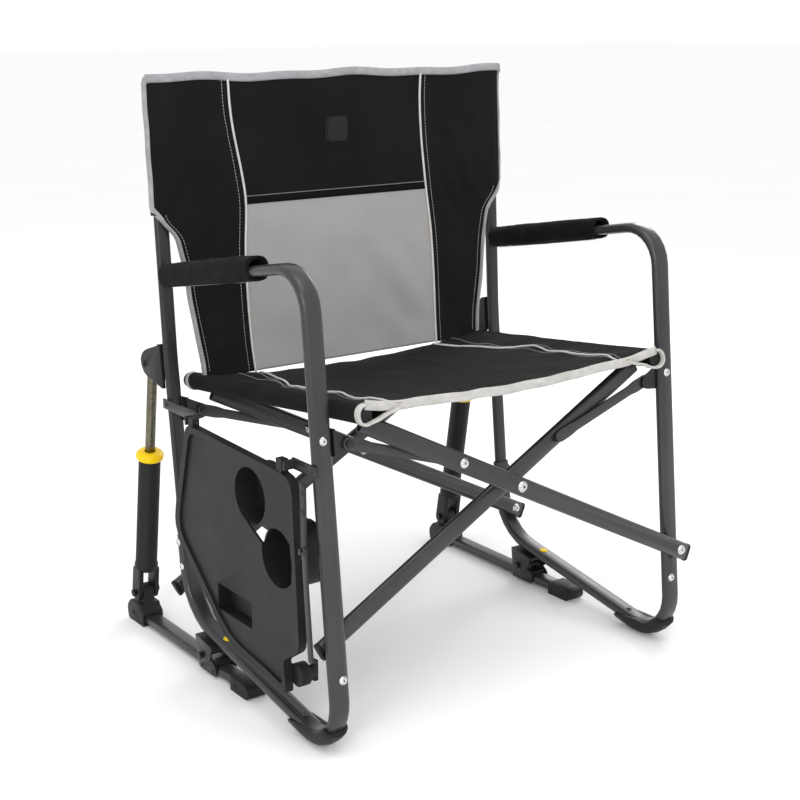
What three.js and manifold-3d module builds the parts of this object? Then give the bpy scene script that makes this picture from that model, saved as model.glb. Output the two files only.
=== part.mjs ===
// Camp rocking chair with spring pistons, a scissor-folding frame and a stowed side tray.
// Millimetres, +Z up. The sitter faces -Y and the tray hangs on the -X side.
import * as THREE from 'three';
import { mergeVertices } from 'three/addons/utils/BufferGeometryUtils.js';
import Module from 'manifold-3d';

const wasm = await Module();
wasm.setup();

// ---- driving dimensions -------------------------------------------------------------------
const GAP = 0.35;              // clearance between neighbouring pieces
const LEAN = 6;                // degrees that legs, posts and the fold axis lean back
const ORIGIN_X = -4.8;         // middle of the whole chair, tray included
const ORIGIN_Y = -59.57;
const SIDE_X = 316;            // middle of each side frame
const LEG_S = -358;            // front leg, along the leaned depth axis
const POST_S = 48;             // back post, along the leaned depth axis
const POST_TOP_S = 30;
const ARM_H = 630;             // arm tube at the leg, up the leaned height axis
const ARM_FALL = 0.075;        // its drop toward the back, per unit of depth
const POST_KINK_H = 480;
const POST_TOP_H = 882;
const TUBE = { width: 30, thick: 15, wall: 1.5 };
const POST = { width: 23, thick: 11.5, wall: 1.4 };
const RUNNER = { width: 30, thick: 15, wall: 1.5 };
const CROSS = { width: 12, thick: 27, wall: 1.3 };
const FOOT_CORNER_Z = 3.5;     // where the leg and rail lines meet, above the floor
const REAR_CORNER_Z = 76.6;
const ARM_BEND = 56;
const FOOT_BEND = 60;
const REAR_BEND = 95;

const LOW_PIVOT_H = 124;       // scissor tubes on the legs
const CENTRE_H = 286;          // scissor centre bolt
const RAIL_X = 266;            // seat rails
const RAIL_R = 11;
const RAIL_S = [-385, 82];
const RAIL_RISE = 10.5;        // the rails sit this far above the middles of the scissor tubes
const CROSS_ANGLE = Math.atan2(CENTRE_H - LOW_PIVOT_H, SIDE_X);
const RAIL_REACH = (RAIL_X + RAIL_RISE * Math.sin(CROSS_ANGLE)) / Math.cos(CROSS_ANGLE);
const RAIL_H = CENTRE_H + RAIL_REACH * Math.sin(CROSS_ANGLE) + RAIL_RISE * Math.cos(CROSS_ANGLE);
const FRONT_S = { a: LEG_S - 21, b: LEG_S + 14 };   // middles of the two front scissor tubes
const REAR_S = { a: POST_S - 30, b: POST_S + 18 };

const LINK_INSET = 36;         // link pivot, in from the side frame
const LINK_REACH = 115;        // link pivot on the scissor tube, out from the centre bolt
const LINK_H = 395.5;
const LINK_THICK = 4;

const ROCK_PIVOT = [-9, 30];   // floor frame (y, z)
const RUNNER_Z = 11;
const RUNNER_Y = [-100, 222];
const PISTON_PIN = [222, 54];
const PISTON_TOP = [158, 452];
const ROD_R = 8;
const CYLINDER_R = 17.5;
const COLLAR_R = 22;
const BODY_SPAN = [52, 238];   // cylinder body, up from its pin
const COLLAR_TALL = 15;

const PAD = { wide: 38, tall: 36, front: -232, rear: 28 };
const FABRIC = 4;              // thickness of the woven panels
const TRAY_X = -335.5;         // inner face of the hanging tray
const TRAY_THICK = 9;
const TRAY_RIM = 4;
const TRAY_HINGE = [-342.5, 401];   // (x, z) of its pins
const TRAY_LUG_Y = [-260, -17];
const TRAY_WALL = 3;
const BRACE_EYE = [TRAY_X - TRAY_THICK - TRAY_RIM - 1.5, -325, 294];

const COLOURS = {
  tube: [0x3e3e42, 0.38, 0.85],
  steel: [0x2c2c2f, 0.45, 0.8],
  plastic: [0x232325, 0.55, 0],
  tray: [0x323235, 0.6, 0],
  rod: [0x5f5c50, 0.2, 0.95],
  yellow: [0xfacd00, 0.45, 0],
  foam: [0x1c1c1d, 0.95, 0],
  cloth: [0x202021, 0.95, 0],
};

// ---- solids -------------------------------------------------------------------------------
// A geometry placed by left-handed axes comes out inside out, and is turned back here.
function toSolid(geometry) {
  const bare = geometry.index ? geometry.toNonIndexed() : geometry.clone();
  bare.deleteAttribute('normal');
  bare.deleteAttribute('uv');
  const merged = mergeVertices(bare, 1e-4);
  const build = (triVerts) => new wasm.Manifold(new wasm.Mesh({
    numProp: 3,
    vertProperties: Float32Array.from(merged.attributes.position.array),
    triVerts,
  }));
  const triangles = Uint32Array.from(merged.index.array);
  const solid = build(triangles);
  return solid.volume() < 0 ? build(triangles.reverse()) : solid;
}

const join = (...parts) => parts.flat(2).map((p) => (p.isBufferGeometry ? toSolid(p) : p))
  .reduce((sum, part) => sum.add(part));

const cut = (base, ...tools) => tools.flat().reduce(
  (rest, tool) => rest.subtract(tool.isBufferGeometry ? toSolid(tool) : tool),
  base.isBufferGeometry ? toSolid(base) : base,
);

function toMesh(name, solid, colour) {
  const { vertProperties, triVerts } = join(solid).getMesh();
  const geometry = new THREE.BufferGeometry();
  geometry.setAttribute('position', new THREE.BufferAttribute(Float32Array.from(vertProperties), 3));
  geometry.setIndex(new THREE.BufferAttribute(Uint32Array.from(triVerts), 1));
  const [color, roughness, metalness] = COLOURS[colour];
  const mesh = new THREE.Mesh(geometry, new THREE.MeshStandardMaterial({ color, roughness, metalness }));
  mesh.name = name;
  return mesh;
}

const vec = (x, y, z) => new THREE.Vector3(x, y, z);

// Maps a shape's x, y and its extrusion onto the given directions, from a point.
function place(geometry, from, xAxis, yAxis, zAxis) {
  return geometry.applyMatrix4(new THREE.Matrix4().makeBasis(xAxis, yAxis, zAxis).setPosition(from));
}

function box(size, centre) {
  return new THREE.BoxGeometry(...size).translate(...centre);
}

function rod(radius, from, to, sides = 12, endRadius = radius) {
  const axis = to.clone().sub(from);
  const geometry = new THREE.CylinderGeometry(endRadius, radius, axis.length(), sides);
  const turn = new THREE.Quaternion().setFromUnitVectors(vec(0, 1, 0), axis.clone().normalize());
  const middle = from.clone().add(to).multiplyScalar(0.5);
  return geometry.applyMatrix4(new THREE.Matrix4().makeRotationFromQuaternion(turn).setPosition(middle));
}

// A rivet or bolt head that stands on a face and points along dir, sunk a little to join it.
function head(at, dir, radius = 5, tall = 2.6, lift = -0.4) {
  const foot = at.clone().addScaledVector(dir, lift);
  return rod(radius, foot, foot.clone().addScaledVector(dir, tall - lift), 8, radius * 0.6);
}

function flatOval({ width, thick }, inset = 0) {
  const [w, t] = [width / 2 - inset, thick / 2 - inset];
  const path = new THREE.Path();
  if (w >= t) {
    path.absarc(w - t, 0, t, -Math.PI / 2, Math.PI / 2);
    path.absarc(t - w, 0, t, Math.PI / 2, Math.PI * 1.5);
  } else {
    path.absarc(0, t - w, w, 0, Math.PI);
    path.absarc(0, w - t, w, Math.PI, Math.PI * 2);
  }
  return path;
}

function tubeSection(size, inset = 0) {
  const shape = new THREE.Shape(flatOval(size, inset).getPoints(3));
  if (size.wall) shape.holes.push(new THREE.Path(flatOval(size, size.wall).getPoints(2)));
  return shape;
}

// A straight length of a section: the section's x axis lies along side.
function bar(section, from, to, side) {
  const along = to.clone().sub(from);
  const depth = along.length();
  const zAxis = along.normalize();
  const yAxis = zAxis.clone().cross(side).normalize();
  const xAxis = yAxis.clone().cross(zAxis);
  const solid = new THREE.ExtrudeGeometry(section, { depth, bevelEnabled: false });
  return place(solid, from, xAxis, yAxis, zAxis);
}

// A route through corners, each rounded by an arc, with stations only where it bends.
class BentRoute extends THREE.Curve {
  constructor(corners, radii, degreesPerStep = 13) {
    super();
    this.stations = [corners[0]];
    this.directions = [corners[1].clone().sub(corners[0]).normalize()];
    for (let i = 1; i < corners.length - 1; i += 1) {
      this.bend(corners[i - 1], corners[i], corners[i + 1], radii[i - 1], degreesPerStep);
    }
    this.stations.push(corners.at(-1));
    this.directions.push(corners.at(-1).clone().sub(corners.at(-2)).normalize());
  }

  bend(before, corner, after, radius, degreesPerStep) {
    const into = corner.clone().sub(before).normalize();
    const out = after.clone().sub(corner).normalize();
    const axis = into.clone().cross(out).normalize();
    const angle = into.angleTo(out);
    const start = corner.clone().addScaledVector(into, -radius * Math.tan(angle / 2));
    const centre = start.clone().addScaledVector(axis.clone().cross(into), radius);
    const steps = Math.max(1, Math.round(THREE.MathUtils.radToDeg(angle) / degreesPerStep));
    for (let k = 0; k <= steps; k += 1) {
      const turned = start.clone().sub(centre).applyAxisAngle(axis, (angle * k) / steps);
      this.stations.push(turned.add(centre));
      this.directions.push(into.clone().applyAxisAngle(axis, (angle * k) / steps));
    }
  }

  index(u) {
    return Math.round(u * (this.stations.length - 1));
  }

  getPoint(u, target = new THREE.Vector3()) {
    return target.copy(this.stations[this.index(u)]);
  }

  getTangentAt(u, target = new THREE.Vector3()) {
    return target.copy(this.directions[this.index(u)]);
  }

  getSpacedPoints() {
    return this.stations.map((p) => p.clone());
  }

  // Every route lies in a side plane, so a section's x axis stays along X.
  computeFrenetFrames() {
    const tangents = this.directions;
    const normals = tangents.map(() => new THREE.Vector3(1, 0, 0));
    const binormals = tangents.map((t, i) => t.clone().cross(normals[i]));
    return { tangents, normals, binormals };
  }
}

function sweep(section, route) {
  const steps = route.stations.length - 1;
  return new THREE.ExtrudeGeometry(section, { steps, extrudePath: route, bevelEnabled: false });
}

// A closed outline with rounded corners: each corner is [x, y, radius].
function roundedOutline(corners, segments = 2) {
  const shape = new THREE.Path();
  corners.forEach(([x, y, radius], i) => {
    const corner = new THREE.Vector2(x, y);
    const before = new THREE.Vector2(...corners.at(i - 1)).sub(corner);
    const after = new THREE.Vector2(...corners[(i + 1) % corners.length]).sub(corner);
    const enter = before.setLength(Math.min(radius, before.length() * 0.49)).add(corner);
    const leave = after.setLength(Math.min(radius, after.length() * 0.49)).add(corner);
    if (i === 0) shape.moveTo(enter.x, enter.y);
    else shape.lineTo(enter.x, enter.y);
    shape.quadraticCurveTo(x, y, leave.x, leave.y);
  });
  shape.closePath();
  return new THREE.Shape(shape.getPoints(segments));
}

// ---- frames -------------------------------------------------------------------------------
const lean = THREE.MathUtils.degToRad(LEAN);
const [X, S, H] = [vec(1, 0, 0), vec(0, 1, 0), vec(0, 0, 1)];

// A floor-frame point (y, z) in the leaned frame (s, h).
const leaned = (x, [y, z]) => vec(
  x,
  y * Math.cos(lean) - z * Math.sin(lean),
  y * Math.sin(lean) + z * Math.cos(lean),
);

// The floor-frame depth of a leaned line at a height above the floor.
const depthAt = (s, z) => (s + z * Math.sin(lean)) / Math.cos(lean);
const FOOT_CORNER = [depthAt(LEG_S, FOOT_CORNER_Z), FOOT_CORNER_Z];
const REAR_CORNER = [depthAt(POST_S, REAR_CORNER_Z), REAR_CORNER_Z];

// The back post bows forward above its kink.
const POST_BOW = (POST_S - POST_TOP_S) / (POST_TOP_H - POST_KINK_H);
const postS = (h) => POST_S - Math.max(0, h - POST_KINK_H) * POST_BOW;

const chair = new THREE.Group();
chair.position.set(-ORIGIN_X, -ORIGIN_Y, 0);
const leanedGroup = new THREE.Group();
leanedGroup.rotation.x = -lean;
const floorGroup = new THREE.Group();
chair.add(leanedGroup, floorGroup);

const addLeaned = (name, solid, colour) => leanedGroup.add(toMesh(name, solid, colour));
const addUpright = (name, solid, colour) => floorGroup.add(toMesh(name, solid, colour));
const sideName = (side) => (side < 0 ? 'left' : 'right');

// ---- side frames --------------------------------------------------------------------------
const RAIL_SOCKET_H = 205;     // the rail's upturned end, a socket for the back post
const RAIL_SLOPE = Math.atan2(REAR_CORNER[1] - FOOT_CORNER[1], REAR_CORNER[0] - FOOT_CORNER[0]);

// Points of a circle in a section's own plane, its middle at (x, 0).
function roundPoints(x, radius, count) {
  return new THREE.Path().absarc(x, 0, radius, 0, Math.PI * 2).getPoints(count);
}

// Height of the lower rail's middle at a depth, floor frame.
const railZ = (y) => FOOT_CORNER[1] + (y - FOOT_CORNER[0]) * Math.tan(RAIL_SLOPE);

// Height of the arm tube's middle at a depth.
const armH = (s) => ARM_H - (s - LEG_S) * ARM_FALL;

function sideTube(side) {
  const x = side * SIDE_X;
  const armEnd = postS(ARM_H) - POST.thick / 2 - 2;
  const corners = [
    vec(x, armEnd, armH(armEnd)),
    vec(x, LEG_S, ARM_H),
    leaned(x, FOOT_CORNER),
    leaned(x, REAR_CORNER),
    vec(x, POST_S, RAIL_SOCKET_H),
  ];
  const route = new BentRoute(corners, [ARM_BEND, FOOT_BEND, REAR_BEND]);
  const outer = x + (side * TUBE.width) / 2;
  const out = X.clone().multiplyScalar(side);
  const front = S.clone().negate();
  const legFace = LEG_S - TUBE.thick / 2;
  const up = leaned(0, [-Math.sin(RAIL_SLOPE), Math.cos(RAIL_SLOPE)]);
  const heads = [
    head(vec(outer - side * 0.4, POST_S, RAIL_SOCKET_H - 12), out, 4.6),
    head(vec(outer - side * 0.4, POST_S - 4, RAIL_SOCKET_H - 50), out, 4.6),
    head(vec(x, legFace, LINK_H + 8), front),
    head(vec(x - side * 4, legFace, 76), front),
    head(leaned(x, [-262, railZ(-262)]).addScaledVector(up, TUBE.thick / 2), up, 4.6),
  ];
  addLeaned(`${sideName(side)}_side_tube`, join(sweep(tubeSection(TUBE), route), heads), 'tube');
}

function backPost(side) {
  const x = side * SIDE_X;
  const corners = [
    vec(x, POST_S, RAIL_SOCKET_H - 30),
    vec(x, POST_S, POST_KINK_H),
    vec(x, POST_TOP_S, POST_TOP_H),
  ];
  const route = new BentRoute(corners, [600], 2);
  addLeaned(`${sideName(side)}_back_post`, sweep(tubeSection(POST), route), 'tube');
}

function armPad(side) {
  const outline = roundedOutline([
    [-PAD.wide / 2, -PAD.tall * 0.6, 12],
    [PAD.wide / 2, -PAD.tall * 0.6, 12],
    [PAD.wide / 2, PAD.tall * 0.4, 10],
    [-PAD.wide / 2, PAD.tall * 0.4, 10],
  ]);
  outline.holes.push(new THREE.Path(flatOval(TUBE, -1).getPoints(3)));
  const at = (s) => vec(side * SIDE_X, s, armH(s));
  const pad = bar(outline, at(PAD.rear), at(PAD.front), X.clone().negate());
  addLeaned(`${sideName(side)}_arm_pad`, pad, 'foam');
}

// The moulded shoe hugs the outside of the bend between leg and rail.
function frontFoot(side) {
  const x = side * SIDE_X;
  const corners = [
    leaned(x, [FOOT_CORNER[0] + 1, 30]),
    leaned(x, FOOT_CORNER),
    leaned(x, [-246, railZ(-246)]),
  ];
  const tube = [vec(x, LEG_S, 200), leaned(x, FOOT_CORNER), leaned(x, [-150, railZ(-150)])];
  const path = new BentRoute(tube, [FOOT_BEND]);
  const blank = sweep(tubeSection({ width: TUBE.width + 8, thick: TUBE.thick + 17 }), path);
  const hollow = sweep(tubeSection({ width: TUBE.width + 2 * GAP, thick: TUBE.thick + 2 * GAP }), path);
  const reach = place(
    new THREE.ExtrudeGeometry(roundedOutline([
      [-352, -20, 2], [-246, -20, 2], [-246, 21, 4], [-290, 24, 6],
      [-318, 24, 12], [-338, 44, 4], [-352, 32, 3],
    ]), { depth: TUBE.width + 20, bevelEnabled: false }),
    vec(x - TUBE.width / 2 - 10, 0, 0),
    S, H, X,
  );
  const floor = box([100, 400, 40], [x, corners[1].y, -20]);
  const shoe = join(blank).intersect(toSolid(reach.rotateX(lean)));
  addLeaned(`${sideName(side)}_front_foot`, cut(shoe, hollow, floor.rotateX(lean)), 'plastic');
}

// A dot plug on top of the lower rail marks the rocking pivot.
function pivotDot(side) {
  const up = vec(0, -Math.sin(RAIL_SLOPE), Math.cos(RAIL_SLOPE));
  const y = -50;
  const top = vec(side * SIDE_X, y, railZ(y)).addScaledVector(up, TUBE.thick / 2);
  addUpright(`${sideName(side)}_pivot_dot`, head(top, up, 8, 1.8, GAP), 'yellow');
}

// Two cheeks fixed under the rail carry the rocking pin.
function rockerBracket(side) {
  const x = side * SIDE_X;
  const [py, pz] = ROCK_PIVOT;
  const under = (y) => railZ(y) - TUBE.thick / 2 - 0.8;
  const cheek = roundedOutline([
    [py - 32, under(py - 32), 2], [py - 26, pz - 2, 6], [py, pz - 11, 10],
    [py + 13, pz - 4, 10], [py + 17, under(py + 17), 2],
  ]);
  const plates = [-1, 1].map((face) => place(
    new THREE.ExtrudeGeometry(cheek, { depth: 3, bevelEnabled: false }),
    vec(x + face * 22 - 1.5, 0, 0),
    S, H, X,
  ));
  const saddle = box([47, 49, 5], [0, 0, 0]).rotateX(RAIL_SLOPE)
    .translate(x, py - 7.5, under(py - 7.5) - 3);
  const pin = rod(4, vec(x - 26, py, pz), vec(x + 26, py, pz), 8);
  const caps = [-1, 1].map((face) => rod(6.5, vec(x + face * 26, py, pz), vec(x + face * 28.5, py, pz), 8));
  addUpright(`${sideName(side)}_rocker_bracket`, join(plates, saddle, pin, caps), 'steel');
}

// ---- runners and spring pistons -----------------------------------------------------------
function runner(side) {
  const x = side * SIDE_X;
  const tube = bar(tubeSection(RUNNER), vec(x, RUNNER_Y[0], RUNNER_Z), vec(x, RUNNER_Y[1], RUNNER_Z), X);
  addUpright(`${sideName(side)}_runner_tube`, tube, 'tube');

  const cap = roundedOutline([
    [-136, 4, 8], [-128, 0, 5], [-84, 0, 1], [-84, 21, 1], [-118, 23, 8], [-136, 19, 8],
  ]);
  const capBody = place(
    new THREE.ExtrudeGeometry(cap, { depth: 34, bevelEnabled: false }), vec(x - 17, 0, 0), S, H, X,
  );
  const socket = bar(
    tubeSection({ width: RUNNER.width + 2 * GAP, thick: RUNNER.thick + 2 * GAP }),
    vec(x, RUNNER_Y[0] - GAP, RUNNER_Z), vec(x, -60, RUNNER_Z), X,
  );
  const outward = X.clone().multiplyScalar(side);
  const capRivet = head(vec(x + side * 17, -96, 11), outward, 4, 2);
  addUpright(`${sideName(side)}_runner_cap`, join(cut(capBody, socket), capRivet), 'plastic');
}

// Cheeks riveted to the runner, inside the rail's cheeks, that hold the rocking pin.
function runnerBracket(side) {
  const x = side * SIDE_X;
  const [py, pz] = ROCK_PIVOT;
  const cheek = roundedOutline([
    [py - 34, 4, 4], [py + 18, 4, 4], [py + 15, pz + 2, 9],
    [py + 4, pz + 11, 9], [py - 9, pz + 6, 9], [py - 34, 19, 5],
  ]);
  cheek.holes.push(new THREE.Path(new THREE.Path().absarc(py, pz, 5, 0, Math.PI * 2).getPoints(6)));
  const plates = [-1, 1].map((face) => place(
    new THREE.ExtrudeGeometry(cheek, { depth: 2.6, bevelEnabled: false }),
    vec(x + face * 17.2 - 1.3, 0, 0),
    S, H, X,
  ));
  const bridge = box([34.4, 40, 2.6], [x, py - 8, 20.6]);
  const slot = rod(5, vec(x - 30, py, pz), vec(x + 30, py, pz), 8);
  const outward = X.clone().multiplyScalar(side);
  const face = x + side * 18.5;
  const heads = [
    head(vec(face, py + 8, 10), outward, 3.6, 1.8),
    head(vec(face, py - 24, 11), outward, 3.6, 1.8),
  ];
  addUpright(`${sideName(side)}_runner_bracket`, join(cut(join(plates, bridge), slot), heads), 'steel');
}

// The moulded knuckle on the runner's rear end carries the piston's lower pin.
function knuckle(side) {
  const x = side * SIDE_X;
  const [py, pz] = PISTON_PIN;
  const outline = roundedOutline([
    [py - 24, 0, 3], [py + 30, 0, 5], [py + 34, 22, 8], [py + 16, 40, 8],
    [py + 13, pz + 12, 11], [py - 13, pz + 12, 11], [py - 13, 30, 6], [py - 24, 24, 4],
  ]);
  const block = place(
    new THREE.ExtrudeGeometry(outline, { depth: 36, bevelEnabled: false }), vec(x - 18, 0, 0), S, H, X,
  );
  const socket = bar(
    tubeSection({ width: RUNNER.width + 2 * GAP, thick: RUNNER.thick + 2 * GAP }),
    vec(x, py - 60, RUNNER_Z), vec(x, RUNNER_Y[1] + GAP, RUNNER_Z), X,
  );
  const shoulders = [-1, 1].map((face) => box([13, 70, 42], [x + face * 15.5, py, pz + 2]));
  const pin = rod(4, vec(x - 22, py, pz), vec(x + 22, py, pz), 8);
  const pinHeads = [-1, 1].map((face) => rod(6, vec(x + face * 20, py, pz), vec(x + face * 23, py, pz), 8));
  const outward = X.clone().multiplyScalar(side);
  const rivet = head(vec(x + side * 18, py + 12, 15), outward, 4.2, 2);
  addUpright(
    `${sideName(side)}_knuckle`,
    join(cut(block, socket, shoulders), pin, pinHeads, rivet),
    'plastic',
  );
}

const pistonDirection = vec(0, PISTON_TOP[0] - PISTON_PIN[0], PISTON_TOP[1] - PISTON_PIN[1]).normalize();
const pistonLength = Math.hypot(PISTON_TOP[0] - PISTON_PIN[0], PISTON_TOP[1] - PISTON_PIN[1]);
const pistonFront = X.clone().cross(pistonDirection);

// A shape's x and y become depth and length in the piston's own frame.
function onPiston(side, outline, from, depth) {
  return place(
    new THREE.ExtrudeGeometry(outline, { depth, bevelEnabled: false }),
    vec(side * SIDE_X + from, ...PISTON_PIN),
    pistonFront.clone().negate(), pistonDirection, X,
  );
}

function lathe(side, profile, sides = 16) {
  const points = profile.map(([r, up]) => new THREE.Vector2(r, up));
  const yAxis = pistonDirection;
  const xAxis = X.clone();
  return place(
    new THREE.LatheGeometry(points, sides),
    vec(side * SIDE_X, ...PISTON_PIN),
    xAxis, yAxis, xAxis.clone().cross(yAxis),
  );
}

function piston(side) {
  const name = sideName(side);
  const [low, high] = BODY_SPAN;
  const bore = ROD_R + 0.6;
  const shell = lathe(side, [
    [0, low - 12], [15, low - 12], [19, low - 8], [19, low], [CYLINDER_R, low + 2], [CYLINDER_R, high],
    [bore, high], [bore, low + 14], [0, low + 14], [0, low - 12],
  ]);
  const fork = [-1, 1].map((face) => onPiston(
    side,
    roundedOutline([[-13, -13, 12], [13, -13, 12], [12, low - 8, 2], [-12, low - 8, 2]]),
    face < 0 ? -17.5 : 10.5, 7,
  ));
  const middle = vec(side * SIDE_X, ...PISTON_PIN);
  const eye = rod(4.6, middle.clone().addScaledVector(X, -30), middle.clone().addScaledVector(X, 30), 12);
  addUpright(`${name}_cylinder`, join(shell, cut(join(fork), eye)), 'plastic');

  const top = high + GAP;
  addUpright(`${name}_piston_collar`, lathe(side, [
    [bore, top], [COLLAR_R - 3, top], [COLLAR_R, top + 3], [COLLAR_R, top + COLLAR_TALL - 4],
    [COLLAR_R - 5, top + COLLAR_TALL], [bore, top + COLLAR_TALL], [bore, top],
  ]), 'yellow');

  const end = pistonLength;
  const foot = low + 74;
  const rodBody = lathe(side, [[0, foot], [ROD_R, foot], [ROD_R, end - 9], [0, end - 9], [0, foot]], 16);
  const topAt = vec(side * SIDE_X, ...PISTON_TOP);
  const ring = rod(14, topAt.clone().addScaledVector(X, -6), topAt.clone().addScaledVector(X, 6), 16);
  const hole = rod(7, topAt.clone().addScaledVector(X, -9), topAt.clone().addScaledVector(X, 9), 12);
  addUpright(`${name}_piston_rod`, cut(join(rodBody, ring), hole), 'rod');
}

// The moulded bracket behind the back post holds the rod's eye between two cheeks.
function rodBracket(side) {
  const x = side * SIDE_X;
  const top = leaned(x, PISTON_TOP);
  const back = POST_S + POST.thick / 2 + GAP;
  const inner = ROD_R + 1.5;
  const cheekThick = 5;
  const cheek = roundedOutline([
    [back, top.z - 34, 2], [top.y + 6, top.z - 15, 12], [top.y + 15, top.z + 8, 12],
    [top.y - 2, top.z + 22, 10], [back, top.z + 34, 3],
  ]);
  const cheeks = [-inner - cheekThick, inner].map((from) => place(
    new THREE.ExtrudeGeometry(cheek, { depth: cheekThick, bevelEnabled: false }),
    vec(x + from, 0, 0), S, H, X,
  ));
  const web = box([2 * (inner + cheekThick), 8, 54], [x, back + 4.2, top.z + 7]);
  const across = (radius, reach) => rod(radius, vec(x - reach, top.y, top.z), vec(x + reach, top.y, top.z));
  const ends = [-1, 1].map((face) => head(
    vec(x + face * (inner + cheekThick), top.y, top.z), X.clone().multiplyScalar(face), 6, 3,
  ));
  addLeaned(`${sideName(side)}_rod_bracket`, join(cheeks, web, across(4, inner + 2), ends), 'plastic');
}

// ---- scissor frames -----------------------------------------------------------------------
// Tube a runs from the left seat rail to the right leg, tube b from the right rail to the left.
const CROSS_OVERHANG = 14;     // past the low pivot
const alongCross = vec(Math.cos(CROSS_ANGLE), 0, Math.sin(CROSS_ANGLE));
const linkFoot = vec(LINK_REACH * alongCross.x, 0, CENTRE_H + LINK_REACH * alongCross.z);

// A tube with its bolt heads on the face that looks along face, and the plug in its low end.
function crossTube(name, s, railSide, face, boss = []) {
  const direction = vec(railSide * alongCross.x, 0, alongCross.z);
  const low = vec(-railSide * SIDE_X, s, LOW_PIVOT_H).addScaledVector(direction, -CROSS_OVERHANG);
  const high = vec(0, s, CENTRE_H).addScaledVector(direction, RAIL_REACH - 6.3);
  const railAt = (offset) => vec(railSide * RAIL_X, s + offset, RAIL_H);
  const tube = cut(bar(tubeSection(CROSS), low, high, S), rod(RAIL_R + GAP, railAt(-20), railAt(20), 16));
  const faceS = s + (face * CROSS.width) / 2;
  const out = S.clone().multiplyScalar(face);
  const heads = [
    head(vec(0, faceS, CENTRE_H), out, 7, 4),
    head(vec(-railSide * SIDE_X, faceS, LOW_PIVOT_H), out, 6.5, 3.4),
    head(vec(railSide * linkFoot.x, faceS, linkFoot.z), out, 6, 3.4),
  ];
  addLeaned(name, join(tube, heads, boss), 'tube');

  const flange = tubeSection({ width: CROSS.width - 0.6, thick: CROSS.thick + 1 });
  const back = (distance) => low.clone().addScaledVector(direction, -distance);
  addLeaned(`${name}_plug`, bar(flange, back(6), back(GAP), S), 'plastic');
}

function scissorFrames() {
  const half = CROSS.width / 2;
  // Tube b carries the spacer boss that keeps the two tubes apart at the centre bolt.
  const boss = ({ a, b }) => rod(9, vec(0, a + half + GAP, CENTRE_H), vec(0, b - half + 0.4, CENTRE_H), 12);
  crossTube('front_cross_a', FRONT_S.a, -1, -1);
  crossTube('front_cross_b', FRONT_S.b, 1, 1, boss(FRONT_S));
  crossTube('rear_cross_a', REAR_S.a, -1, -1);
  crossTube('rear_cross_b', REAR_S.b, 1, 1, boss(REAR_S));
}

function seatRail(side) {
  const [front, rear] = RAIL_S;
  const section = new THREE.Shape(roundPoints(0, RAIL_R, 10));
  section.holes.push(new THREE.Path(roundPoints(0, RAIL_R - 1.4, 6)));
  const at = (s) => vec(side * RAIL_X, s, RAIL_H);
  addLeaned(`${sideName(side)}_seat_rail`, bar(section, at(front), at(rear), X), 'tube');
  const frontCap = rod(RAIL_R + 1, at(front - GAP - 6), at(front - GAP));
  const rearCap = rod(RAIL_R + 1, at(rear + GAP), at(rear + GAP + 6));
  addLeaned(`${sideName(side)}_rail_front_cap`, frontCap, 'plastic');
  addLeaned(`${sideName(side)}_rail_rear_cap`, rearCap, 'plastic');
}

// ---- links between each side frame and the scissor tube on its own side --------------------
// The bracket reaches in from the leg or post, s deep, and holds the link's outer pin.
function hingeBracket(name, side, { half, s }, plateS) {
  const faceX = side * (SIDE_X - half - GAP);
  const inner = side * (SIDE_X - LINK_INSET);
  const plate = roundedOutline([
    [faceX, LINK_H - 15, 2], [faceX, LINK_H + 22, 2], [inner + side * 4, LINK_H + 12, 8],
    [inner - side * 11, LINK_H + 6, 8], [inner - side * 9, LINK_H - 12, 8],
  ]);
  const sheet = place(
    new THREE.ExtrudeGeometry(plate, { depth: 3, bevelEnabled: false }),
    vec(0, plateS + 1.5, 0), X, H, S.clone().negate(),
  );
  const [near, far] = [Math.min(plateS - 1.5, s - 6), Math.max(plateS + 1.5, s + 6)];
  const flange = box([3, far - near, 37], [faceX - side * 1.7, (near + far) / 2, LINK_H + 3.5]);
  const outward = S.clone().multiplyScalar(side);
  const along = (reach) => vec(inner, plateS, LINK_H).addScaledVector(outward, reach);
  const pin = rod(3, along(0), along(8));
  addLeaned(name, join(sheet, flange, pin, rod(5.5, along(7.6), along(9.4))), 'steel');
}

// A round-ended bar between its two pivots, flattened and drilled at the outer one.
function link(name, side, s) {
  const outer = vec(side * (SIDE_X - LINK_INSET), s, LINK_H);
  const inner = vec(side * linkFoot.x, s, linkFoot.z);
  const reach = inner.clone().sub(outer).normalize();
  const across = S.clone().cross(reach);
  const length = outer.distanceTo(inner);
  const outline = roundedOutline([
    [-9, -9, 9], [24, -9, 5], [34, -7, 5], [length - 30, -7, 5], [length - 20, -9, 5], [length + 9, -9, 9],
    [length + 9, 9, 9], [length - 20, 9, 5], [length - 30, 7, 5], [34, 7, 5], [24, 9, 5], [-9, 9, 9],
  ]);
  const blank = place(
    new THREE.ExtrudeGeometry(outline, { depth: LINK_THICK, bevelEnabled: false }),
    outer.clone().addScaledVector(S, LINK_THICK / 2), reach, across, S.clone().negate(),
  );
  const hole = rod(3.5, outer.clone().addScaledVector(S, -9), outer.clone().addScaledVector(S, 9), 12);
  addLeaned(name, cut(blank, hole), 'tube');
}

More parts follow.
